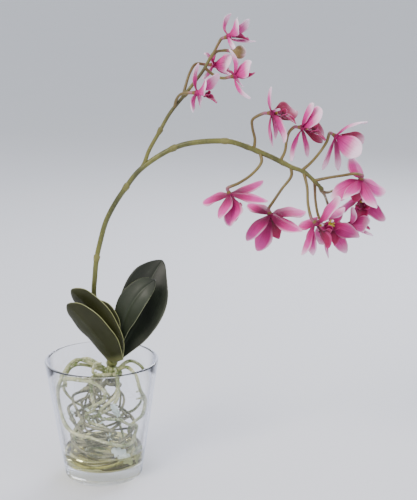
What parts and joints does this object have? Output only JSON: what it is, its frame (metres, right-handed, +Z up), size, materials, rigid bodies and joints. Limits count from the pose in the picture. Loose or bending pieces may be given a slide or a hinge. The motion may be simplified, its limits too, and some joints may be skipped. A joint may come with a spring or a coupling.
{
  "type": "potted orchid",
  "caption": "Potted orchid in a clear glass tumbler: strap leaves, tangled bare roots in shallow water, and an arching spike of pink flowers with a side branch.",
  "frame": {"origin": "centre of the tumbler's flat base, on the surface it stands on", "axes": "+Z up; +X the way the flower spike arches; the plant's front faces -Y"},
  "size_m": [0.2589, 0.0931, 0.3486],
  "materials": {
    "glass": "clear, gloss",
    "water": "clear olive tinted water",
    "roots": "papery, matt",
    "crown": "waxy, satin",
    "spike": "waxy, satin",
    "leaves": "waxy, satin",
    "bud": "waxy, satin",
    "petals": "soft petal, satin",
    "lips": "soft petal, satin"
  },
  "bodies": {
    "root": {"glass": "glass", "water": "water", "roots": "roots", "crown": "crown", "flower_spike": "spike", "leaf_1": "leaves", "leaf_2": "leaves", "leaf_3": "leaves", "leaf_4": "leaves", "leaf_5": "leaves", "bud": "bud", "bloom_a": "petals", "lip_a": "lips", "bloom_b": "petals", "lip_b": "lips", "bloom_c": "petals", "lip_c": "lips", "bloom_d": "petals", "lip_d": "lips", "bloom_e": "petals", "lip_e": "lips", "bloom_f": "petals", "lip_f": "lips", "bloom_g": "petals", "lip_g": "lips", "bloom_h": "petals", "lip_h": "lips", "bloom_i": "petals", "lip_i": "lips", "bloom_j": "petals", "lip_j": "lips", "bloom_k": "petals", "lip_k": "lips", "bloom_l": "petals", "lip_l": "lips", "bloom_m": "petals", "lip_m": "lips", "bloom_n": "petals", "lip_n": "lips"}
  },
  "joints": []
}
